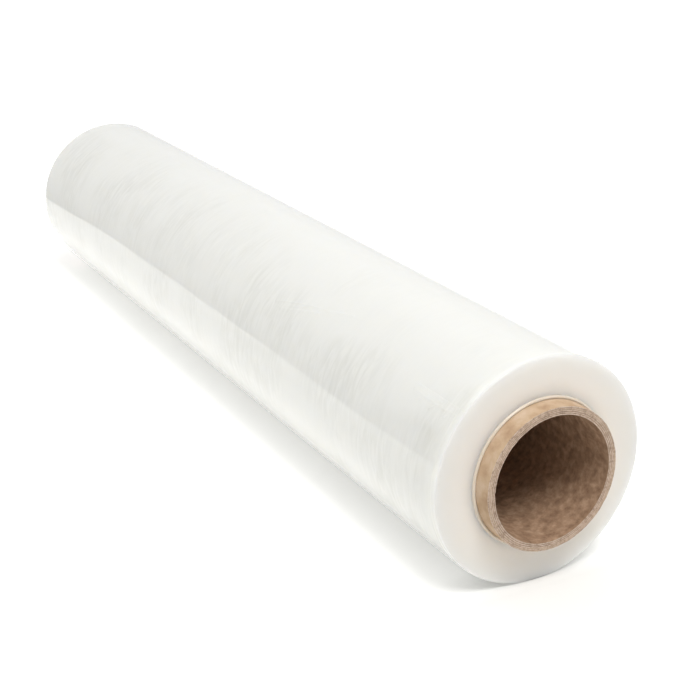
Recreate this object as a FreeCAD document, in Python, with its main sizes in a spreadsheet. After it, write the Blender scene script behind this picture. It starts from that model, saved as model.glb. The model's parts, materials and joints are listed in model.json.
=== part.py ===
"""A roll of stretch wrap: clear film wound on a paper tube, lying on its side.

The roll's axis runs along Y, with the end that faces the user at -Y. Z is up, and the origin is on the
surface that the roll lies on, under the middle of the film. Sizes are in millimetres and degrees.
"""

import FreeCAD
import Part

import math
import os
from enum import IntEnum

import Sketcher
from FreeCAD import Placement, Rotation, Vector

SIZES = {
    "film_width": 457.0,  # length of the wound film along the roll
    "film_diameter": 90.4,  # measured over the free end of the last turn
    "last_turn_step": 0.15,  # height of the step at the free end of the film
    "last_turn_inset": 2.2,  # the last turn lies this far inside each end of the roll
    "free_end_angle": 138.0,  # where the free end lies, from +X towards +Z
    "rim_bevel": 0.5,  # soft outer rim of the wound film
    "first_turns_thickness": 1.2,  # the first turns, which stand proud beside the tube
    "first_turns_rise": 0.8,
    "first_turns_bevel": 0.3,
    "turn_line_pitch": 2.0,  # from one line that the turns draw on an end to the next
    "turn_line_width": 0.4,
    "turn_line_depth": 0.25,
    "turn_line_margin": 1.0,  # plain film beside the rim and beside the first turns
    "flat_spot_depth": 0.35,  # the soft film is pressed flat by this much where it lies
    "tube_bore": 50.0,
    "tube_wall": 3.4,
    "tube_overhang": 8.0,  # the tube stands out of the film by this much at each end
    "tube_plies": 5.0,  # layers of board in the tube's wall
    "tube_edge": 0.3,  # crushed edge of the saw cut, inside and outside
    "ply_line_width": 0.22,  # the gap that shows between two layers at a cut end
    "ply_line_depth": 0.25,
    "seam_pitch": 96.0,  # how far the strip of board advances along the tube in one turn
    "seam_width": 0.8,  # gap between the edges of the innermost strip, which shows inside the tube
    "seam_depth": 0.3,
}

# What several features share, as formulas of the sizes.
FILM_R = "(sizes.film_diameter / 2)"
FILM_END = "(sizes.film_width / 2)"
WOUND_R = "(sizes.film_diameter / 2 - sizes.last_turn_step * 1.5)"  # the film under its last turn
AXIS_HEIGHT = "(sizes.film_diameter / 2 - sizes.flat_spot_depth)"
BORE_R = "(sizes.tube_bore / 2)"
TUBE_R = "(sizes.tube_bore / 2 + sizes.tube_wall)"
TUBE_END = "(sizes.film_width / 2 + sizes.tube_overhang)"
FIRST_TURNS_R = f"({TUBE_R} + sizes.first_turns_thickness)"
FIRST_TURNS_END = f"({FILM_END} + sizes.first_turns_rise)"


class Point(IntEnum):
    """How a sketch numbers the points of a line or an arc."""

    START = 1
    END = 2
    CENTRE = 3


X_AXIS = -1  # how a sketch numbers its own X axis
ORIGIN = (X_AXIS, Point.START)

doc = FreeCAD.newDocument("stretch_wrap_roll")


def add_sheet():
    """The spreadsheet that holds the sizes, each in a cell with its name as alias."""
    sheet = doc.addObject("Spreadsheet::Sheet", "sizes")
    for row, (name, size) in enumerate(SIZES.items(), start=1):
        sheet.set(f"A{row}", name)
        sheet.set(f"B{row}", str(size))
        sheet.setAlias(f"B{row}", name)
    doc.recompute()
    return sheet


sheet = add_sheet()


def value(formula):
    """The number that a formula of the sizes comes to."""
    return float(sheet.evalExpression(formula))


def add_body(name):
    """A body whose Y axis is the roll's axis, at the height where the roll's axis lies."""
    body = doc.addObject("PartDesign::Body", name)
    body.Label = name
    body.Placement = Placement(Vector(0, 0, value(AXIS_HEIGHT)), Rotation())
    body.setExpression("Placement.Base.z", AXIS_HEIGHT)
    return body


def origin_feature(body, role):
    """One of the origin planes of a body."""
    return next(feature for feature in body.Origin.OriginFeatures if feature.Role == role)


def add_sketch(body, name, role, offset="0", turn="0"):
    """An empty sketch on an origin plane, moved along the plane's normal and turned about it."""
    sketch = body.newObject("Sketcher::SketchObject", name)
    sketch.AttachmentSupport = [(origin_feature(body, role), "")]
    sketch.MapMode = "FlatFace"
    placement = Placement(Vector(0, 0, value(offset)), Rotation(Vector(0, 0, 1), value(turn)))
    sketch.AttachmentOffset = placement
    sketch.setExpression("AttachmentOffset.Base.z", offset)
    sketch.setExpression("AttachmentOffset.Rotation.Angle", turn)
    return sketch


def join(sketch, first, second):
    """Makes two points of a sketch one, each given as the number of a line and of its point."""
    sketch.addConstraint(Sketcher.Constraint("Coincident", *first, *second))


def put_on_x_axis(sketch, point):
    """Keeps a point on the sketch's X axis."""
    sketch.addConstraint(Sketcher.Constraint("PointOnObject", *point, X_AXIS))


def measure(sketch, kind, formula, *points):
    """A dimension of a sketch that stays equal to a formula of the sizes."""
    number = sketch.addConstraint(Sketcher.Constraint(kind, *points, value(formula)))
    sketch.setExpression(f"Constraints[{number}]", formula)


def draw_polygon(sketch, corners):
    """A closed outline through corners, each a pair of formulas for its place in the sketch."""
    places = [Vector(value(x), value(y), 0) for x, y in corners]
    for place, following in zip(places, places[1:] + places[:1]):
        sketch.addGeometry(Part.LineSegment(place, following))
    for line, (x, y) in enumerate(corners):
        join(sketch, ((line or len(corners)) - 1, Point.END), (line, Point.START))
        measure(sketch, "DistanceX", x, *ORIGIN, line, Point.START)
        measure(sketch, "DistanceY", y, *ORIGIN, line, Point.START)


def draw_spiral(sketch, outer_radius, growth, half_turns):
    """Half circles that wind inwards from the X axis and grow by the given pitch in a whole turn.

    Their centres lie by turns on the two sides of the sketch's origin, a quarter of the pitch from it,
    and all their ends lie on the X axis, so that each half circle runs into the next with no corner.
    The first and last of them are returned.
    """
    first = sketch.GeometryCount
    pitch = value(growth)
    for turn in range(half_turns):
        side = -1 if turn % 2 else 1
        centre = Vector(side * pitch / 4, 0, 0)
        radius = value(outer_radius) - pitch / 4 - turn * pitch / 2
        circle = Part.Circle(centre, Vector(0, 0, 1), radius)
        start = turn % 2 * math.pi
        arc = sketch.addGeometry(Part.ArcOfCircle(circle, start, start + math.pi))
        if turn < 2:
            put_on_x_axis(sketch, (arc, Point.CENTRE))
            measure(sketch, "DistanceX", f"{side} * {growth} / 4", *ORIGIN, arc, Point.CENTRE)
        else:
            join(sketch, (arc - 2, Point.CENTRE), (arc, Point.CENTRE))
        if turn:
            join(sketch, (arc - 1, Point.END), (arc, Point.START))
        else:
            put_on_x_axis(sketch, (arc, Point.START))
            measure(sketch, "DistanceX", outer_radius, *ORIGIN, arc, Point.START)
        put_on_x_axis(sketch, (arc, Point.END))
    return first, sketch.GeometryCount - 1


def draw_line_between(sketch, first, second):
    """A straight line from one point of the sketch's outline to another."""
    ends = [sketch.getPoint(*first), sketch.getPoint(*second)]
    line = sketch.addGeometry(Part.LineSegment(*ends))
    join(sketch, (line, Point.START), first)
    join(sketch, (line, Point.END), second)


def end_to_end(corners):
    """An outline in radius and length, from its corners at one end and their mirror image."""
    return corners + [(radius, f"-{length}") for radius, length in reversed(corners)]


def revolve(body, name, corners):
    """A ring about the roll's axis, from an outline in radius and length."""
    sketch = add_sketch(body, f"{name}_profile", "XY_Plane")
    draw_polygon(sketch, corners)
    doc.recompute()
    ring = body.newObject("PartDesign::Revolution", name)
    ring.Profile = sketch
    ring.ReferenceAxis = (sketch, ["V_Axis"])
    ring.Angle = 360.0
    doc.recompute()
    return ring


def check_cut(body, before):
    """Stops if the last feature of a body took no material from what was there before it."""
    doc.recompute()
    taken = before.Shape.Volume - body.Tip.Shape.Volume
    print(f"{body.Tip.Label} takes {taken:.1f} mm3")
    if taken <= 0:
        raise RuntimeError(f"{body.Tip.Label} cuts nothing")


def bevel_edges(body, name, size, edge_radius, edge_end):
    """Bevels the circular edges that have the given radius and lie at the given length, at both ends."""
    base = body.Tip
    edges = []
    for number, edge in enumerate(base.Shape.Edges, start=1):
        if not isinstance(edge.Curve, Part.Circle):
            continue
        right_radius = math.isclose(edge.Curve.Radius, value(edge_radius), abs_tol=1e-4)
        right_end = math.isclose(abs(edge.Curve.Center.y), value(edge_end), abs_tol=1e-4)
        if right_radius and right_end:
            edges.append(f"Edge{number}")
    bevel = body.newObject("PartDesign::Chamfer", name)
    bevel.Base = (base, edges)
    bevel.Size = value(size)
    bevel.setExpression("Size", size)
    check_cut(body, base)


def add_seam(body):
    """The gap that winds along the inside of the tube, where the edges of the innermost strip meet."""
    before = body.Tip
    start = f"({TUBE_END} + sizes.seam_pitch / 2)"
    near = f"(-{start} - sizes.seam_width / 2)"
    far = f"(-{start} + sizes.seam_width / 2)"
    clear = f"({BORE_R} - sizes.seam_depth)"
    deep = f"({BORE_R} + sizes.seam_depth)"
    sketch = add_sketch(body, "seam_profile", "XY_Plane")
    draw_polygon(sketch, [(clear, near), (deep, near), (deep, far), (clear, far)])
    doc.recompute()
    seam = body.newObject("PartDesign::SubtractiveHelix", "seam")
    seam.Profile = sketch
    seam.ReferenceAxis = (sketch, ["V_Axis"])
    seam.Mode = "pitch-height-angle"
    seam.setExpression("Pitch", "sizes.seam_pitch")
    seam.setExpression("Height", f"2 * {start}")
    check_cut(body, before)


def make_core():
    """The paper tube: strips of board wound and glued in plies on each other, and sawn to length."""
    body = add_body("core")
    corners = [
        (BORE_R, f"({TUBE_END} - sizes.tube_edge)"),
        (f"({BORE_R} + sizes.tube_edge)", TUBE_END),
    ]
    for ply in range(1, int(value("sizes.tube_plies"))):
        joint = f"{BORE_R} + sizes.tube_wall * {ply} / sizes.tube_plies"
        corners += [
            (f"({joint} - sizes.ply_line_width / 2)", TUBE_END),
            (f"({joint})", f"({TUBE_END} - sizes.ply_line_depth)"),
            (f"({joint} + sizes.ply_line_width / 2)", TUBE_END),
        ]
    corners += [
        (f"({TUBE_R} - sizes.tube_edge)", TUBE_END),
        (TUBE_R, f"({TUBE_END} - sizes.tube_edge)"),
    ]
    revolve(body, "wound_board", end_to_end(corners))
    add_seam(body)
    return body


def add_last_turn(body):
    """The film's last turn: it lies a little inside both ends, and its free end makes a small step."""
    sketch = add_sketch(body, "last_turn_outline", "XZ_Plane", turn="sizes.free_end_angle")
    first, last = draw_spiral(sketch, FILM_R, "sizes.last_turn_step", 2)
    draw_line_between(sketch, (last, Point.END), (first, Point.START))
    inside = f"({WOUND_R} - sizes.last_turn_step)"
    circle = sketch.addGeometry(Part.Circle(Vector(), Vector(0, 0, 1), value(inside)))
    join(sketch, (circle, Point.CENTRE), ORIGIN)
    measure(sketch, "Radius", inside, circle)
    pad = body.newObject("PartDesign::Pad", "last_turn")
    pad.Profile = sketch
    pad.SideType = "Symmetric"
    pad.setExpression("Length", "sizes.film_width - 2 * sizes.last_turn_inset")
    doc.recompute()


def add_flat_spot(body):
    """The narrow flat that the roll's own weight presses into the film where it lies."""
    before = body.Tip
    sketch = add_sketch(body, "flat_spot_outline", "XZ_Plane")
    below = f"({FILM_R} + sizes.flat_spot_depth)"
    corners = [
        (f"-{FILM_R}", f"-{below}"),
        (FILM_R, f"-{below}"),
        (FILM_R, f"-{AXIS_HEIGHT}"),
        (f"-{FILM_R}", f"-{AXIS_HEIGHT}"),
    ]
    draw_polygon(sketch, corners)
    pocket = body.newObject("PartDesign::Pocket", "flat_spot")
    pocket.Profile = sketch
    pocket.SideType = "Symmetric"
    pocket.Type = "ThroughAll"
    check_cut(body, before)


def add_turn_lines(body):
    """The lines that the film's turns draw on both ends: one narrow groove that winds inwards."""
    before = body.Tip
    outer = f"({WOUND_R} - sizes.turn_line_margin)"
    inner = f"({FIRST_TURNS_R} + sizes.turn_line_margin + sizes.turn_line_width)"
    half_turns = int(value(f"({outer} - {inner}) / sizes.turn_line_pitch * 2"))
    sketch = add_sketch(body, "turn_line", "XZ_Plane", offset=FILM_END, turn="sizes.free_end_angle")
    outside = draw_spiral(sketch, outer, "sizes.turn_line_pitch", half_turns)
    inside = draw_spiral(sketch, f"({outer} - sizes.turn_line_width)", "sizes.turn_line_pitch", half_turns)
    draw_line_between(sketch, (outside[0], Point.START), (inside[0], Point.START))
    draw_line_between(sketch, (outside[1], Point.END), (inside[1], Point.END))
    pocket = body.newObject("PartDesign::Pocket", "front_turn_lines")
    pocket.Profile = sketch
    pocket.setExpression("Length", "sizes.turn_line_depth")
    check_cut(body, before)
    mirrored = body.newObject("PartDesign::Mirrored", "rear_turn_lines")
    mirrored.Originals = [pocket]
    mirrored.MirrorPlane = (origin_feature(body, "XZ_Plane"), [""])
    body.Tip = mirrored
    check_cut(body, pocket)


def make_film_roll():
    """The wound film: its turns cling to each other and are one solid, which grips the tube."""
    body = add_body("film_roll")
    corners = [
        (TUBE_R, FIRST_TURNS_END),
        (FIRST_TURNS_R, FIRST_TURNS_END),
        (FIRST_TURNS_R, FILM_END),
        (WOUND_R, FILM_END),
    ]
    revolve(body, "wound_turns", end_to_end(corners))
    bevel_edges(body, "outer_rims", "sizes.rim_bevel", WOUND_R, FILM_END)
    bevel_edges(body, "first_turns", "sizes.first_turns_bevel", FIRST_TURNS_R, FIRST_TURNS_END)
    add_last_turn(body)
    add_flat_spot(body)
    add_turn_lines(body)
    return body


def check_document():
    """Stops if any object of the document is in a failed state."""
    for item in doc.Objects:
        if "Invalid" in item.State or "Error" in item.State:
            raise RuntimeError(f"{item.Label} is {item.State}")


def export(body):
    """Writes the STEP file of a sub-part, which has the sub-part's name."""
    shape = body.Shape
    if shape.isNull() or not shape.isValid() or len(shape.Solids) != 1:
        raise RuntimeError(f"{body.Label} is not one valid solid")
    shape.exportStep(f"parts/{body.Label}.step")
    print(f"{body.Label}: {shape.Volume / 1000:.2f} cm3, {len(shape.Faces)} faces")


bodies = [make_core(), make_film_roll()]
doc.recompute()
check_document()
os.makedirs("parts", exist_ok=True)
for body in bodies:
    export(body)
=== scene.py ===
import json
import math

import bmesh
import bpy
import numpy as np
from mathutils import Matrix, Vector, noise


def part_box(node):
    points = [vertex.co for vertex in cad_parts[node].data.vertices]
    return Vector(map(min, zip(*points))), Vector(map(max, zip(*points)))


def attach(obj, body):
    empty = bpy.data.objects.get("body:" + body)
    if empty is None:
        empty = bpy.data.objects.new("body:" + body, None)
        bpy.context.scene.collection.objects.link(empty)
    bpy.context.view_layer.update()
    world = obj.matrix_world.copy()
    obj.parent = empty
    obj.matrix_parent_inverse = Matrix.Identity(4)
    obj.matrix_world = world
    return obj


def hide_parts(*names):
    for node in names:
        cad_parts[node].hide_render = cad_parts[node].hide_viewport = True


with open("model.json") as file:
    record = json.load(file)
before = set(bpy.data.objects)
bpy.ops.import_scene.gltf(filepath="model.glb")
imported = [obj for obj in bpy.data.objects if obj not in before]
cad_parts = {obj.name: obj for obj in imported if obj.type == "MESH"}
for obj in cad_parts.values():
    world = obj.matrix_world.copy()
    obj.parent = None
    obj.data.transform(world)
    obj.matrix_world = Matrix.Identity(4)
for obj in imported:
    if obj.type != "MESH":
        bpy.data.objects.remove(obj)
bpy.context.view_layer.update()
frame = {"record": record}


# The tube: a paper core, wound on a slant from five plies of kraft board that are glued to each other,
# then sawn square at both ends. The saw leaves a rough, greyer ring with the plies' edges as fine lines,
# and a slightly fuzzy rim. Inside, the innermost strip meets itself along a helical seam.
MM = 0.001
tube_low, tube_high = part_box("core")
AXIS_HEIGHT = (tube_low.z + tube_high.z) / 2
TUBE_R = (tube_high.x - tube_low.x) / 2
TUBE_END = tube_high.y
BORE_R = frame["record"]["mounts"][0]["dims"]["r_mm"] * MM
TUBE_SIDES = 360
TUBE_RINGS = 48
CUT_EDGE = 0.25 * MM
PLIES = 5
PLY = (TUBE_R - BORE_R) / PLIES
PLY_STEPS = 4
PLY_LINE = 0.2 * MM
PLY_LINE_DEPTH = 0.2 * MM
SAWN_ZONE = 1.5 * MM
SAWN_DEPTH = 0.10 * MM
RIM_FUZZ = 0.12 * MM
# How wide the tufts and fibres are that the saw tears up, in millimetres.
SAWN_TUFT, SAWN_FIBRE, RIM_TUFT = 0.9, 0.45, 2.2
SEAM_PITCH = 96 * MM
SEAM_WIDTH = 0.8 * MM
SEAM_DEPTH = 0.3 * MM
SEAM_TURNS = math.ceil((2 * TUBE_END) / SEAM_PITCH) + 2
SEAM_STEPS = 90
# How squarely a face has to face the roll's end: a plain one, and one that the saw has roughened.
PLAIN_END, ROUGH_END = 0.99, 0.6


def pick(kind, test):
    """Selects the edges or faces of the mesh in edit mode that pass a test."""
    mesh = bmesh.from_edit_mesh(bpy.context.edit_object.data)
    bpy.ops.mesh.select_mode(type=kind)
    bpy.ops.mesh.select_all(action="DESELECT")
    for part in {"EDGE": mesh.edges, "FACE": mesh.faces}[kind]:
        if test(part):
            part.select_set(True)
    mesh.select_flush_mode()
    bmesh.update_edit_mesh(bpy.context.edit_object.data)


def from_axis(point):
    """How far a point lies from the roll's axis."""
    return math.hypot(point.x, point.z - AXIS_HEIGHT)


def lies_along(edge, length):
    """Whether an edge runs along the roll for more than a length."""
    first, last = edge.verts
    return abs(first.co.y - last.co.y) > length


def solid_rod(name, radius, end, sides):
    """A closed rod round the roll's axis, in edit mode."""
    bpy.ops.object.select_all(action="DESELECT")
    bpy.ops.mesh.primitive_cylinder_add(
        vertices=sides,
        radius=radius,
        depth=2 * end,
        location=(0, 0, AXIS_HEIGHT),
        rotation=(math.pi / 2, 0, 0),
    )
    rod = bpy.context.object
    rod.name = name
    rod.data.name = name
    bpy.ops.object.transform_apply(location=True, rotation=True, scale=True)
    bpy.ops.object.mode_set(mode="EDIT")
    return rod


def open_hole():
    """Deletes the two inner discs, one on each end, and joins their rims by the wall of the hole."""
    bpy.ops.mesh.delete(type="FACE")
    pick("EDGE", lambda edge: edge.is_boundary)
    bpy.ops.mesh.bridge_edge_loops()


def points_of(piece):
    """The mesh's points as rows of x, y and z."""
    flat = np.empty(len(piece.data.vertices) * 3)
    piece.data.vertices.foreach_get("co", flat)
    return flat.reshape(-1, 3)


def set_points(piece, points):
    """Moves the mesh's points to new places."""
    piece.data.vertices.foreach_set("co", points.ravel())
    piece.data.update()


def finish_mesh(piece, sharp_from):
    """Merges doubles, turns all faces outwards and shades them smooth, save across sharp edges."""
    bpy.ops.object.mode_set(mode="EDIT")
    bpy.ops.mesh.select_all(action="SELECT")
    bpy.ops.mesh.remove_doubles(threshold=1e-6)
    bpy.ops.mesh.normals_make_consistent(inside=False)
    bpy.ops.object.mode_set(mode="OBJECT")
    bpy.ops.object.shade_smooth_by_angle(angle=math.radians(sharp_from))


tube = solid_rod("paper_tube", TUBE_R, TUBE_END, TUBE_SIDES)
pick("EDGE", lambda edge: not lies_along(edge, TUBE_END))
bpy.ops.mesh.bevel(offset=CUT_EDGE, segments=2)
pick("FACE", lambda face: abs(face.normal.y) > PLAIN_END)
bpy.ops.mesh.inset(thickness=PLY - CUT_EDGE - PLY_LINE / 2)
for ply in range(PLIES - 1):
    bpy.ops.mesh.inset(thickness=PLY_LINE / 2, depth=-PLY_LINE_DEPTH)
    bpy.ops.mesh.inset(thickness=PLY_LINE / 2, depth=PLY_LINE_DEPTH)
    for step in range(PLY_STEPS):
        bpy.ops.mesh.inset(thickness=(PLY - PLY_LINE) / PLY_STEPS)
open_hole()
pick("EDGE", lambda edge: lies_along(edge, TUBE_END))
bpy.ops.mesh.subdivide(number_cuts=TUBE_RINGS)
bpy.ops.object.mode_set(mode="OBJECT")

# The saw tears the board's fibres, so each cut end is sunk by an uneven depth, and its rim frays.
points = points_of(tube)
for point in points:
    x, y, z = point
    if TUBE_END - abs(y) < SAWN_ZONE:
        spot = Vector((x, y, z)) / MM
        rough = noise.noise(spot / SAWN_TUFT) + 0.6 * noise.noise(spot / SAWN_FIBRE)
        point[1] -= math.copysign(SAWN_DEPTH * (0.6 + 0.5 * rough), y)
        radius_scale = 1 + RIM_FUZZ * (noise.noise(spot / RIM_TUFT) - 0.5) / TUBE_R
        point[0] *= radius_scale
        point[2] = AXIS_HEIGHT + (z - AXIS_HEIGHT) * radius_scale
set_points(tube, points)

# The seam is cut by a flat strip, wound through the bore.
bpy.ops.object.select_all(action="DESELECT")
bpy.ops.mesh.primitive_plane_add(size=1, location=(-BORE_R, -TUBE_END - SEAM_PITCH, AXIS_HEIGHT))
seam = bpy.context.object
seam.scale = (2 * SEAM_DEPTH, SEAM_WIDTH, 1)
bpy.ops.object.transform_apply(location=False, rotation=False, scale=True)
bpy.context.scene.cursor.location = (0, 0, AXIS_HEIGHT)
bpy.ops.object.origin_set(type="ORIGIN_CURSOR")
twist = seam.modifiers.new("wound", "SCREW")
twist.axis = "Y"
twist.angle = math.tau
twist.screw_offset = SEAM_PITCH
twist.iterations = SEAM_TURNS
twist.steps = SEAM_STEPS
bpy.ops.object.modifier_apply(modifier=twist.name)
bpy.ops.object.transform_apply(location=True, rotation=True, scale=True)
bpy.ops.object.mode_set(mode="EDIT")
pick("EDGE", lambda edge: edge.is_boundary)
bpy.ops.mesh.edge_face_add()
bpy.ops.mesh.select_all(action="SELECT")
bpy.ops.mesh.normals_make_consistent(inside=False)
bpy.ops.object.mode_set(mode="OBJECT")
bpy.context.view_layer.objects.active = tube
seam.select_set(False)
tube.select_set(True)
cut = tube.modifiers.new("seam", "BOOLEAN")
cut.operation = "DIFFERENCE"
cut.object = seam
bpy.ops.object.modifier_apply(modifier=cut.name)
bpy.data.objects.remove(seam)
finish_mesh(tube, sharp_from=40)


def linear(hex_colour):
    """An sRGB hex colour, turned to the linear values that the shader takes, with full alpha."""
    channels = [int(hex_colour[i : i + 2], 16) / 255 for i in (1, 3, 5)]
    return [c / 12.92 if c <= 0.04045 else ((c + 0.055) / 1.055) ** 2.4 for c in channels] + [1.0]


def new_material(name):
    """An empty material, with its node tree and its shader."""
    material = bpy.data.materials.new(name)
    material.use_nodes = True
    tree = material.node_tree
    return material, tree, tree.nodes["Principled BSDF"]


def add(tree, kind, inputs, **settings):
    """Adds a node with its settings. An input is a value, or another node's output to link."""
    made = tree.nodes.new(kind)
    for name, value in settings.items():
        setattr(made, name, value)
    for socket, value in inputs.items():
        if isinstance(value, bpy.types.NodeSocket):
            tree.links.new(value, made.inputs[socket])
        else:
            made.inputs[socket].default_value = value
    return made


# The colour sockets of a Mix node, which share their names with its sockets for numbers.
MIX_A, MIX_B, MIX_RESULT = 6, 7, 2


def colour_stops(ramp, stops):
    """Sets a colour ramp's stops, each a place and a hex colour."""
    elements = ramp.color_ramp.elements
    while len(elements) < len(stops):
        elements.new(1.0)
    for element, (place, colour) in zip(elements, stops):
        element.position = place
        element.color = linear(colour)


def radius_at(tree, place):
    """The distance of a place on the piece from the roll's axis, as a node's output."""
    level = add(
        tree,
        "ShaderNodeMapping",
        {"Vector": place, "Location": (0, 0, -AXIS_HEIGHT), "Scale": (1, 0, 1)},
    )
    return add(
        tree, "ShaderNodeVectorMath", {0: level.outputs["Vector"]}, operation="LENGTH"
    ).outputs["Value"]


# Recycled kraft board, wound and glued: matte, with soft blotches where the fibres lie unevenly, darker
# flecks of old print, and a fine felt of fibres that only its bump shows.
FLECK = 1.3 * MM
# The felt is drawn coarser than it is, so that it shows.
FELT = 0.5 * MM


def kraft_board(name, light, middle, dark, blotch, flecking, relief):
    material, tree, shader = new_material(name)
    place = add(tree, "ShaderNodeTexCoord", {}).outputs["Object"]
    blotches = add(
        tree,
        "ShaderNodeTexNoise",
        {"Vector": place, "Scale": 1 / blotch, "Detail": 5, "Roughness": 0.6},
    )
    tone = add(tree, "ShaderNodeValToRGB", {"Fac": blotches.outputs["Fac"]})
    colour_stops(tone, [(0.30, dark), (0.50, middle), (0.70, light)])
    flecks = add(tree, "ShaderNodeTexNoise", {"Vector": place, "Scale": 1 / FLECK, "Detail": 2})
    fleck_share = add(
        tree,
        "ShaderNodeMapRange",
        {"Value": flecks.outputs["Fac"], "From Min": 0.60, "From Max": 0.72, "To Max": flecking},
    )
    colour = add(
        tree,
        "ShaderNodeMix",
        {"Factor": fleck_share.outputs["Result"], MIX_A: tone.outputs["Color"], MIX_B: linear(dark)},
        data_type="RGBA",
    )
    felt = add(
        tree,
        "ShaderNodeTexNoise",
        {"Vector": place, "Scale": 1 / FELT, "Detail": 5, "Roughness": 0.7},
    )
    bump = add(
        tree,
        "ShaderNodeBump",
        {"Height": felt.outputs["Fac"], "Strength": 0.6, "Distance": relief},
    )
    tree.links.new(colour.outputs[MIX_RESULT], shader.inputs["Base Color"])
    tree.links.new(bump.outputs["Normal"], shader.inputs["Normal"])
    shader.inputs["Roughness"].default_value = 0.85
    shader.inputs["IOR"].default_value = 1.45
    shader.inputs["Specular IOR Level"].default_value = 0.3
    return material


def show_glue(board, tone, share, dark_to, ends_at):
    """Draws the glue between the plies as darker rings, which fade from one share of a ply to another."""
    tree = board.node_tree
    base_colour = tree.nodes["Principled BSDF"].inputs["Base Color"]
    place = add(tree, "ShaderNodeTexCoord", {}).outputs["Object"]
    plies = add(
        tree,
        "ShaderNodeMapRange",
        {"Value": radius_at(tree, place), "From Min": BORE_R, "From Max": BORE_R + PLY},
        clamp=False,
    )
    off_glue = add(tree, "ShaderNodeMath", {0: plies.outputs["Result"], 1: 0.5}, operation="PINGPONG")
    glue_share = add(
        tree,
        "ShaderNodeMapRange",
        {"Value": off_glue.outputs["Value"], "From Min": dark_to, "From Max": ends_at,
         "To Min": share, "To Max": 0.0},
    )
    glued = add(
        tree,
        "ShaderNodeMix",
        {"Factor": glue_share.outputs["Result"], MIX_A: base_colour.links[0].from_socket,
         MIX_B: linear(tone)},
        data_type="RGBA",
    )
    tree.links.new(glued.outputs[MIX_RESULT], base_colour)


wound_board = kraft_board(
    "kraft_board_wound", "#cdb79f", "#bfa487", "#a6886c", blotch=9 * MM, flecking=0.1, relief=0.03 * MM
)
sawn_board = kraft_board(
    "kraft_board_sawn", "#d2bfaf", "#c1ac9a", "#8f7b6c", blotch=1 * MM, flecking=0.2, relief=0.1 * MM
)
show_glue(sawn_board, "#8f7b6c", share=0.75, dark_to=0.08, ends_at=0.24)
# The bore's board is drawn darker than the wound board: painted shade inside the bore.
bore_board_painted_shade = kraft_board(
    "kraft_board_bore_painted_shade", "#bfa085", "#a5866c", "#886c56", blotch=3 * MM, flecking=0.35, relief=0.05 * MM
)
for board in (wound_board, sawn_board, bore_board_painted_shade):
    tube.data.materials.append(board)
# The sawn ends take the second board, and the wall of the bore the third, which is painted darker:
# painted shade inside the bore.
for face in tube.data.polygons:
    if abs(face.normal.y) > ROUGH_END and TUBE_END - abs(face.center.y) < SAWN_ZONE:
        face.material_index = 1
    elif from_axis(face.center) < (BORE_R + TUBE_R) / 2:
        face.material_index = 2
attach(tube, "root")
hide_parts("core")


# The film: some 195 m of clear polyethylene, cast 0.02 mm thin and wound tight round the tube. The turns
# cling, so they look like one milky, glossy body. The first turns stand a little proud at both ends, the
# last one lies a little inside them, and its free end shows as a thin step by the front rim.
FIRST_TURNS_RISE = 0.8 * MM
FIRST_TURNS_WIDTH = 1.2 * MM
FIRST_TURNS_R = TUBE_R + FIRST_TURNS_WIDTH
# The slopes across the first turns, from the end face to the tube: their width and rise in millimetres.
FIRST_TURNS_SLOPES = [(0.2, 0.45), (0.25, 0.27), (0.3, 0.08), (0.43, -0.3)]
film_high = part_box("film_roll")[1]
FILM_END = film_high.y - FIRST_TURNS_RISE
FREE_END, BESIDE_FREE_END = math.radians(138), math.radians(3)
# The free end is a step of one film. It is drawn several times as high as it is, so that it shows.
STEP = 0.15 * MM
TOP_TURNED = ((math.pi / 2 - FREE_END) / math.tau) % 1.0
FILM_R = film_high.z - AXIS_HEIGHT + STEP * TOP_TURNED
FILM_SIDES = 180
# The side is cut into six lengths, and then each of these into 70 cells.
FILM_CELLS = (6, 70)
LONG_EDGE = 20 * MM
RIM_BEVEL = 0.4 * MM
END_RINGS = 12
TOLERANCE = 0.01 * MM
# The rows of points beside the step, how far from the front rim it can be followed, and the share of a
# turn that it fades into behind that.
STEP_WIDTH, STEP_BORDER = 0.2 * MM, 0.45 * MM
STEP_ROWS = (-STEP_BORDER, -STEP_WIDTH, STEP_WIDTH, STEP_BORDER)
STEP_ENDS, STEP_GONE, FADE_SHARE = 28 * MM, 42 * MM, 0.035
TURN_INSET, LEAST_INSET = 2.2 * MM, 0.1 * MM
# How many rows of points move by each rim, and how far a row's number may be off by rounding.
ROWS_MOVED, ROW_SLACK = 10, 0.1
# Ripples of trapped air, in millimetres round and along the roll. Each calm strip has its middle, the
# half width where it is smooth and the half width where the ripples are full again, all in degrees.
RIPPLE_DEPTH = 0.02 * MM
RIPPLE_ROUND, RIPPLE_ALONG = 11, 3.2
SWAY, SWAY_ROUND, SWAY_ALONG = 2.5, 7, 20
PATCH = 30
CALM_STRIPS = [(68, 24, 50), (232, 16, 40)]
CALM_RIM, RIPPLED_RIM = 1 * MM, 9 * MM
# Creases of the last turn, as corners: degrees round the axis and millimetres from the front rim.
CREASES = [
    [(142, 146), (136.3, 129), (132.8, 114), (129.5, 101), (127, 92)],
    [(144.5, 140), (139.5, 127), (135.5, 113)],
    [(141.2, 4), (141.9, 17), (141.1, 31)],
    [(140.0, 14), (145.0, 18)],
    [(140.2, 23), (144.2, 25)],
    [(139.8, 8), (144.6, 9)],
]
CREASED_FROM, CREASED_TO = 120, 150
CREASE_HEIGHT, CREASE_WIDTH = 0.16 * MM, 0.55 * MM
FINE_BESIDE_CREASE, FINE_CUTS = 1.3 * MM, 4


def angle_of(point):
    """The angle round the axis, from the right-hand side upwards."""
    return math.atan2(point.z - AXIS_HEIGHT, point.x) % math.tau


def rises(value, start, full):
    """From 0 to 1, smoothly, as a value goes from a start to the full place."""
    share = min(1.0, max(0.0, (value - start) / (full - start)))
    return share * share * (3 - 2 * share)


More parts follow.
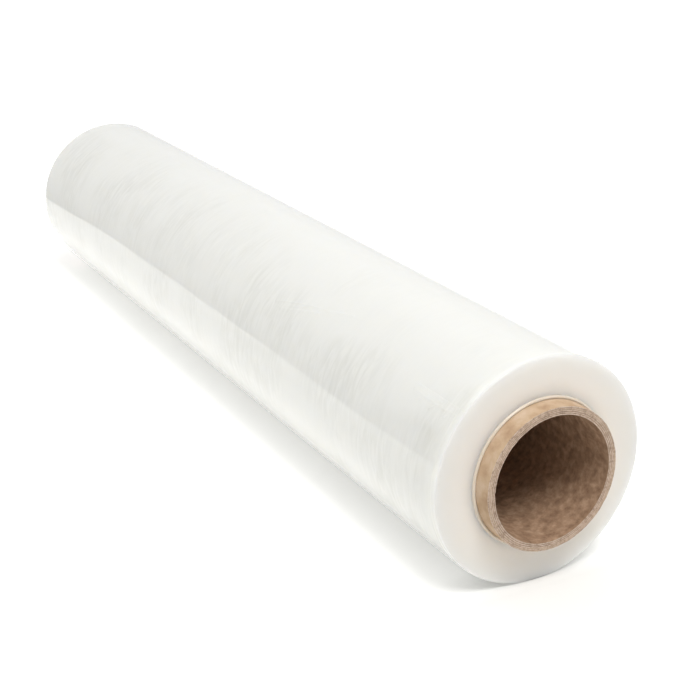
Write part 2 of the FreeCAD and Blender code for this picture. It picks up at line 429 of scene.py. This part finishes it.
def near_free_end(point):
    """Whether a point of the film's side lies near the step, all along the roll."""
    on_the_side = from_axis(point) > FILM_R - 2 * RIM_BEVEL
    return on_the_side and abs(angle_of(point) - FREE_END) < BESIDE_FREE_END


def off_crease(point):
    """How far a point of the film's side lies from the nearest crease, at most a metre."""
    nearest = 1.0
    creased = CREASED_FROM < math.degrees(angle_of(point)) < CREASED_TO
    if from_axis(point) < FILM_R - RIM_BEVEL or not creased:
        return nearest
    here = Vector((angle_of(point) * FILM_R, point.y + FILM_END))
    for crease in CREASES:
        corners = [Vector((math.radians(angle) * FILM_R, along * MM)) for angle, along in crease]
        for first, last in zip(corners, corners[1:]):
            share = (here - first).dot(last - first) / (last - first).length_squared
            nearest = min(nearest, (here - first.lerp(last, min(1.0, max(0.0, share)))).length)
    return nearest


def moved_row(from_rim, edge):
    """The new distance from the rim of a row of points, so that the last turn's edge has rows beside it."""
    row_width = 2 * (FILM_END - RIM_BEVEL) / (FILM_CELLS[0] * FILM_CELLS[1])
    row = (from_rim - RIM_BEVEL) / row_width
    if not 1 - ROW_SLACK < row < ROWS_MOVED:
        return from_rim
    if row < len(STEP_ROWS) + ROW_SLACK:
        return edge + STEP_ROWS[round(row) - 1]
    last_row = RIM_BEVEL + ROWS_MOVED * row_width
    share = (row - len(STEP_ROWS)) / (ROWS_MOVED - len(STEP_ROWS))
    return edge + STEP_BORDER + share * (last_row - (edge + STEP_BORDER))


def ripple_at(angle, y):
    """How deep a ripple of trapped air is at a place on the film's side."""
    arc = angle * FILM_R / MM
    along = y / MM + SWAY * noise.noise(Vector((arc / SWAY_ROUND, y / MM / SWAY_ALONG, 0)))
    ripple = noise.noise(Vector((arc / RIPPLE_ROUND, along / RIPPLE_ALONG, 0)))
    patch = 0.35 + 0.65 * rises(noise.noise(Vector((arc / PATCH, y / MM / PATCH, 7))), -0.35, 0.25)
    clear = 1.0
    for middle, calm, rippled in CALM_STRIPS:
        clear *= rises(abs(math.degrees(angle) - middle), calm, rippled)
    clear *= rises(FILM_END - abs(y), CALM_RIM, RIPPLED_RIM)
    return RIPPLE_DEPTH * (0.5 + 0.5 * ripple) * patch * clear


film = solid_rod("film_roll_wound", FILM_R, FILM_END, FILM_SIDES)
pick("EDGE", lambda edge: not lies_along(edge, FILM_END))
bpy.ops.mesh.bevel(offset=RIM_BEVEL, segments=3)
pick("FACE", lambda face: abs(face.normal.y) > PLAIN_END)
for ring in range(END_RINGS):
    bpy.ops.mesh.inset(thickness=(FILM_R - RIM_BEVEL - FIRST_TURNS_R) / END_RINGS)
for width, rise in FIRST_TURNS_SLOPES:
    bpy.ops.mesh.inset(thickness=width * MM, depth=rise * MM)
open_hole()
for cells in FILM_CELLS:
    pick("EDGE", lambda edge: lies_along(edge, LONG_EDGE) and from_axis(edge.verts[0].co) > FIRST_TURNS_R)
    bpy.ops.mesh.subdivide(number_cuts=cells - 1)
for beside in STEP_ROWS:
    across = FREE_END + math.pi / 2 + beside / FILM_R
    pick("FACE", lambda face: near_free_end(face.calc_center_median()))
    bpy.ops.mesh.bisect(
        plane_co=(0, 0, AXIS_HEIGHT), plane_no=(math.cos(across), 0, math.sin(across))
    )
pick("FACE", lambda face: off_crease(face.calc_center_median()) < FINE_BESIDE_CREASE)
bpy.ops.mesh.subdivide(number_cuts=FINE_CUTS)
bpy.ops.object.mode_set(mode="OBJECT")

# Each point of the film's side sinks as its turn runs back from the free end. Past the edge of the last
# turn, by each rim, the turn below shows, one film deeper. Ripples sink too, and creases stand out.
points = points_of(film)
for point in points:
    x, y, z = point
    height = z - AXIS_HEIGHT
    if math.hypot(x, height) < FILM_R - RIM_BEVEL - TOLERANCE:
        continue
    angle = math.atan2(height, x) % math.tau
    turned = ((angle - FREE_END) / math.tau) % 1.0
    edge = RIM_BEVEL + STEP_BORDER + LEAST_INSET + TURN_INSET * (1 - turned)
    from_rim = moved_row(FILM_END - abs(y), edge)
    fade = FADE_SHARE * rises(y + FILM_END, STEP_ENDS, STEP_GONE)
    if turned > 1 - fade:
        turned = (1 - turned) / fade
    sunk = STEP * turned
    if from_rim < edge:
        sunk += STEP
    sunk += ripple_at(angle, y)
    crease = off_crease(Vector(point))
    if crease < 3 * CREASE_WIDTH:
        sunk -= CREASE_HEIGHT * math.exp(-((crease / CREASE_WIDTH) ** 2))
    scale = (FILM_R - sunk) / FILM_R
    point[0] = x * scale
    point[1] = math.copysign(FILM_END - from_rim, y)
    point[2] = max(AXIS_HEIGHT + height * scale, 0.0)
set_points(film, points)
finish_mesh(film, sharp_from=50)


# Clear cast polyethylene, wound in hundreds of turns: light soaks in and scatters between the turns, so
# the roll is milky, and a touch warmer where light goes deep.
def wound_film(name, colour, roughness, soak):
    material, tree, shader = new_material(name)
    shader.inputs["Base Color"].default_value = linear(colour)
    shader.inputs["Roughness"].default_value = roughness
    shader.inputs["IOR"].default_value = 1.5
    shader.inputs["Subsurface Weight"].default_value = 1.0
    shader.inputs["Subsurface Radius"].default_value = (1.0, 0.95, 0.85)
    shader.inputs["Subsurface Scale"].default_value = soak
    return material, tree, shader


# The roll's side has the clear gloss of smooth film. Trapped air runs round it as faint, wavy, slightly
# darker lines, in patches, and mostly on the left. The lines are partly the air's own tone and partly
# painted shade for the ripples' shading and reflections, strongest on the left, where the gloss shows them.
FILM_TONE, AIR_AND_PAINTED_SHADE_TONE = "#e5e5e1", "#dcdcd7"
AIR_AND_SHADE_LINE_ROUND, AIR_AND_SHADE_LINE_ALONG, AIR_AND_SHADE_PATCH = 11 * MM, 2.6 * MM, 35 * MM
LEFT_EDGE = -32 * MM
FEWEST_LINES = 0.1
film_side, side_tree, side_shader = wound_film("polyethylene_film_wound", FILM_TONE, 0.05, 8 * MM)
side_place = add(side_tree, "ShaderNodeTexCoord", {}).outputs["Object"]
stretched = add(
    side_tree,
    "ShaderNodeMapping",
    {"Vector": side_place, "Scale": (1 / AIR_AND_SHADE_LINE_ROUND, 1 / AIR_AND_SHADE_LINE_ALONG, 1 / AIR_AND_SHADE_LINE_ROUND)},
)
air_and_painted_shade_lines = add(
    side_tree,
    "ShaderNodeTexNoise",
    {"Vector": stretched.outputs["Vector"], "Scale": 1.0, "Detail": 2, "Roughness": 0.5, "Distortion": 0.7},
)
sideways = add(side_tree, "ShaderNodeSeparateXYZ", {"Vector": side_place}).outputs["X"]
on_the_left = add(
    side_tree,
    "ShaderNodeMapRange",
    {"Value": sideways, "From Min": 0.0, "From Max": LEFT_EDGE, "To Min": FEWEST_LINES, "To Max": 1.0},
)
air_and_painted_shade_patches = add(
    side_tree, "ShaderNodeTexNoise", {"Vector": side_place, "Scale": 1 / AIR_AND_SHADE_PATCH, "Detail": 1}
)
strength = add(
    side_tree,
    "ShaderNodeMapRange",
    {"Value": air_and_painted_shade_patches.outputs["Fac"], "From Min": 0.38, "From Max": 0.6, "To Min": FEWEST_LINES,
     "To Max": on_the_left.outputs["Result"]},
)
line_share = add(
    side_tree,
    "ShaderNodeMapRange",
    {"Value": air_and_painted_shade_lines.outputs["Fac"], "From Min": 0.68, "From Max": 0.32, "To Min": 0.0,
     "To Max": strength.outputs["Result"]},
)
# The darker lines: the trapped air's tone together with painted shade for the ripples.
side_colour = add(
    side_tree,
    "ShaderNodeMix",
    {"Factor": line_share.outputs["Result"], MIX_A: linear(FILM_TONE), MIX_B: linear(AIR_AND_PAINTED_SHADE_TONE)},
    data_type="RGBA",
)
side_tree.links.new(side_colour.outputs[MIX_RESULT], side_shader.inputs["Base Color"])

# The end faces are the slit edges of all the turns: satin, and warm near the tube, where the board shines
# through. Their tone also holds painted light: lighter near the tube, for the light that the tube soaks up,
# and greyer towards the rim, a painted shade that tones down the glow of the rounded rim.
RIM_PAINTED_SHADE_TONE = "#d2d1ce"
film_ends, ends_tree, ends_shader = wound_film("polyethylene_film_edges", RIM_PAINTED_SHADE_TONE, 0.35, 15 * MM)
ends_place = add(ends_tree, "ShaderNodeTexCoord", {}).outputs["Object"]
off_tube = add(
    ends_tree,
    "ShaderNodeMapRange",
    {"Value": radius_at(ends_tree, ends_place), "From Min": TUBE_R, "From Max": FILM_R},
)
ends_tone_with_painted_light = add(ends_tree, "ShaderNodeValToRGB", {"Fac": off_tube.outputs["Result"]})
# Painted light near the tube and painted shade towards the rim, over the board's warm tint.
colour_stops(ends_tone_with_painted_light, [(0.0, "#fcf2e6"), (0.4, "#e8e3dc"), (1.0, RIM_PAINTED_SHADE_TONE)])
ends_tree.links.new(ends_tone_with_painted_light.outputs["Color"], ends_shader.inputs["Base Color"])

# The first turns are a thin ring on the board, whose colour they take.
first_turns = wound_film("polyethylene_first_turns", "#d9cebf", 0.35, 0.5 * MM)[0]

for turns in (film_side, film_ends, first_turns):
    film.data.materials.append(turns)
# The first turns take the third material, and the rest of the end faces the second.
for face in film.data.polygons:
    if from_axis(face.center) < FIRST_TURNS_R:
        face.material_index = 2
    elif FILM_END - abs(face.center.y) < RIM_BEVEL - TOLERANCE:
        face.material_index = 1
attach(film, "root")
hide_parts("film_roll")


# The stand: a wide sheet of white card that the roll lies on, matte, and of one even colour. From the
# roll's front rim backwards it glows a little, more so further back: painted light that lightens the
# roll's shadow on the card, in place of the light that comes through the film.
CARD_SIZE = 60
GLOW_STARTS, GLOW_FULL = -234 * MM, -212 * MM
NEAR_PLACE, FAR_PLACE = -200 * MM, 240 * MM
NEAR_GLOW, FAR_GLOW = 0.27, 0.33
bpy.ops.object.select_all(action="DESELECT")
bpy.ops.mesh.primitive_plane_add(size=CARD_SIZE, location=(0, 0, 0))
floor = bpy.context.object
floor.name = "white_table"
white_card, card_tree, card_shader = new_material("white_card_with_painted_glow")
card_shader.inputs["Base Color"].default_value = linear("#f4f4f2")
card_shader.inputs["Roughness"].default_value = 1.0
card_shader.inputs["Specular IOR Level"].default_value = 0.0
card_shader.inputs["Emission Color"].default_value = (1, 1, 1, 1)
card_place = add(card_tree, "ShaderNodeTexCoord", {}).outputs["Object"]
card_along = add(card_tree, "ShaderNodeSeparateXYZ", {"Vector": card_place}).outputs["Y"]
painted_glow_further_back = add(
    card_tree,
    "ShaderNodeMapRange",
    {"Value": card_along, "From Min": NEAR_PLACE, "From Max": FAR_PLACE, "To Min": NEAR_GLOW,
     "To Max": FAR_GLOW},
)
# Painted light: the card's glow starts at the front rim, so the roll's shadow beside it is lightened.
painted_glow = add(
    card_tree,
    "ShaderNodeMapRange",
    {"Value": card_along, "From Min": GLOW_STARTS, "From Max": GLOW_FULL, "To Min": 0.0,
     "To Max": painted_glow_further_back.outputs["Result"]},
)
card_tree.links.new(painted_glow.outputs["Result"], card_shader.inputs["Emission Strength"])
floor.data.materials.append(white_card)

# The studio round it: bright white overhead, darker towards the foot of its walls.
HORIZON_LIGHT, CEILING_LIGHT = 0.18, 1.4
world = bpy.data.worlds.new("studio")
bpy.context.scene.world = world
world.use_nodes = True
sky_tree = world.node_tree
direction = add(sky_tree, "ShaderNodeTexCoord", {}).outputs["Generated"]
upwards = add(sky_tree, "ShaderNodeSeparateXYZ", {"Vector": direction}).outputs["Z"]
towards_ceiling = add(sky_tree, "ShaderNodeMath", {0: upwards, 1: 2.0}, operation="POWER")
brightness = add(
    sky_tree,
    "ShaderNodeMapRange",
    {"Value": towards_ceiling.outputs["Value"], "To Min": HORIZON_LIGHT, "To Max": CEILING_LIGHT},
)
sky_tree.links.new(brightness.outputs["Result"], sky_tree.nodes["Background"].inputs["Strength"])
sky_tree.nodes["Background"].inputs["Color"].default_value = (1, 1, 1, 1)


def glowing(name, strength):
    """A material that gives even white light."""
    material, _, shader = new_material(name)
    shader.inputs["Base Color"].default_value = (0, 0, 0, 1)
    shader.inputs["Emission Color"].default_value = (1, 1, 1, 1)
    shader.inputs["Emission Strength"].default_value = strength
    return material


def show_only_to(thing, ray):
    """Hides a thing of the stage from all rays of light but one kind."""
    for kind in ("camera", "diffuse", "glossy", "transmission", "volume_scatter", "shadow"):
        setattr(thing, "visible_" + kind, kind == ray)


# Behind the roll, to its left, a dark cloth lies on the table. The film's gloss mirrors it, and the white
# table beside it shows as one bright strip along the roll. Its corners are in millimetres.
CLOTH_CORNERS = [
    (160, 900), (-110, 435), (-135, 422), (-190, 450), (-206, 390), (-226, 300), (-233, 180), (-224, 80),
    (-280, 62), (-3550, 0), (-3550, 4170), (2000, 4170),
]
CLOTH_HEIGHT = 0.5
bpy.ops.object.select_all(action="DESELECT")
bpy.ops.mesh.primitive_circle_add(vertices=len(CLOTH_CORNERS), fill_type="NGON", location=(0, 0, 0))
dark_cloth = bpy.context.object
dark_cloth.name = "dark_cloth"
for vertex, (x, y) in zip(dark_cloth.data.vertices, CLOTH_CORNERS):
    vertex.co = (x * MM, y * MM, CLOTH_HEIGHT * MM)
dark_cloth.data.update()
dark_cloth.data.materials.append(glowing("dark_cloth_matte", 0.42))
show_only_to(dark_cloth, "glossy")


def standing_panel(name, left, right, height, material):
    """An upright panel on the floor, from one point to another, that only the gloss mirrors."""
    bpy.ops.object.select_all(action="DESELECT")
    bpy.ops.mesh.primitive_plane_add(size=1, location=(0, 0, 0))
    made = bpy.context.object
    made.name = name
    corners = [(x * MM, y * MM, z * MM) for x, y in (left, right) for z in (0, height)]
    for vertex, corner in zip(made.data.vertices, corners):
        vertex.co = corner
    made.data.update()
    made.data.materials.append(material)
    show_only_to(made, "glossy")


# A grey wall stands beyond the cloth, and the film's upper left side mirrors it.
WALL_LEFT, WALL_RIGHT = (-1900, 2240), (100, 1650)
WALL_HEIGHT = 1500
standing_panel("grey_wall", WALL_LEFT, WALL_RIGHT, WALL_HEIGHT, glowing("grey_wall_matte", 0.58))

# A white panel stands behind the roll on the right, brighter away from its left edge, and the top of the
# film mirrors it.
PANEL_LEFT, PANEL_RIGHT = (100, 1500), (2500, 1500)
PANEL_HEIGHT = 1700
PANEL_FULL_FROM = 700
PANEL_DIM_LIGHT, PANEL_FULL_LIGHT = 0.58, 0.82
panel_glow = glowing("white_rear_panel_lit", PANEL_FULL_LIGHT)
panel_tree = panel_glow.node_tree
panel_place = add(panel_tree, "ShaderNodeTexCoord", {}).outputs["Object"]
panel_across = add(panel_tree, "ShaderNodeSeparateXYZ", {"Vector": panel_place}).outputs["X"]
panel_strength = add(
    panel_tree,
    "ShaderNodeMapRange",
    {"Value": panel_across, "From Min": PANEL_LEFT[0] * MM, "From Max": PANEL_FULL_FROM * MM,
     "To Min": PANEL_DIM_LIGHT, "To Max": PANEL_FULL_LIGHT},
)
panel_tree.links.new(
    panel_strength.outputs["Result"], panel_tree.nodes["Principled BSDF"].inputs["Emission Strength"]
)
standing_panel("white_rear_panel", PANEL_LEFT, PANEL_RIGHT, PANEL_HEIGHT, panel_glow)

# The key light: a large softbox high up, in front of the near end and to its left. It lights the end
# face, and the lower part of the bore near its mouth.
SOFTBOX_PLACE, SOFTBOX_AIM = (-0.35, -1.85, 3.1), Vector((0, -0.2, 0))
SOFTBOX_SIZE, SOFTBOX_POWER = 1.4, 66
bpy.ops.object.light_add(type="AREA", location=SOFTBOX_PLACE)
softbox = bpy.context.object
softbox.name = "softbox"
softbox.data.shape = "DISK"
softbox.data.size = SOFTBOX_SIZE
softbox.data.energy = SOFTBOX_POWER
softbox.rotation_euler = (softbox.location - SOFTBOX_AIM).to_track_quat("Z", "Y").to_euler()

# A white backdrop all round, far away, which only the camera sees.
BACKDROP_R = 12
bpy.ops.object.select_all(action="DESELECT")
bpy.ops.mesh.primitive_uv_sphere_add(
    segments=32, ring_count=16, radius=BACKDROP_R, location=(0, 0, AXIS_HEIGHT)
)
backdrop = bpy.context.object
backdrop.name = "white_backdrop"
backdrop.data.materials.append(glowing("white_backdrop_lit", 1.2))
show_only_to(backdrop, "camera")

# The camera: it stands in front of the roll's near end, to its left, and looks down along it. Its place,
# tilt, turn and lens are fitted to the rims of the film and the tube.
CAMERA_PLACE = (-0.27863, -0.59594, 0.26639)
CAMERA_TILT, CAMERA_TURN = math.radians(69.088), math.radians(-28.537)
CAMERA_LENS, CAMERA_SENSOR = 71.353, 36
bpy.ops.object.camera_add(location=CAMERA_PLACE)
camera = bpy.context.object
camera.name = "camera"
camera.rotation_euler = (CAMERA_TILT, 0, CAMERA_TURN)
camera.data.lens = CAMERA_LENS
camera.data.sensor_width = CAMERA_SENSOR
bpy.context.scene.camera = camera
bpy.context.scene.view_settings.view_transform = "Standard"
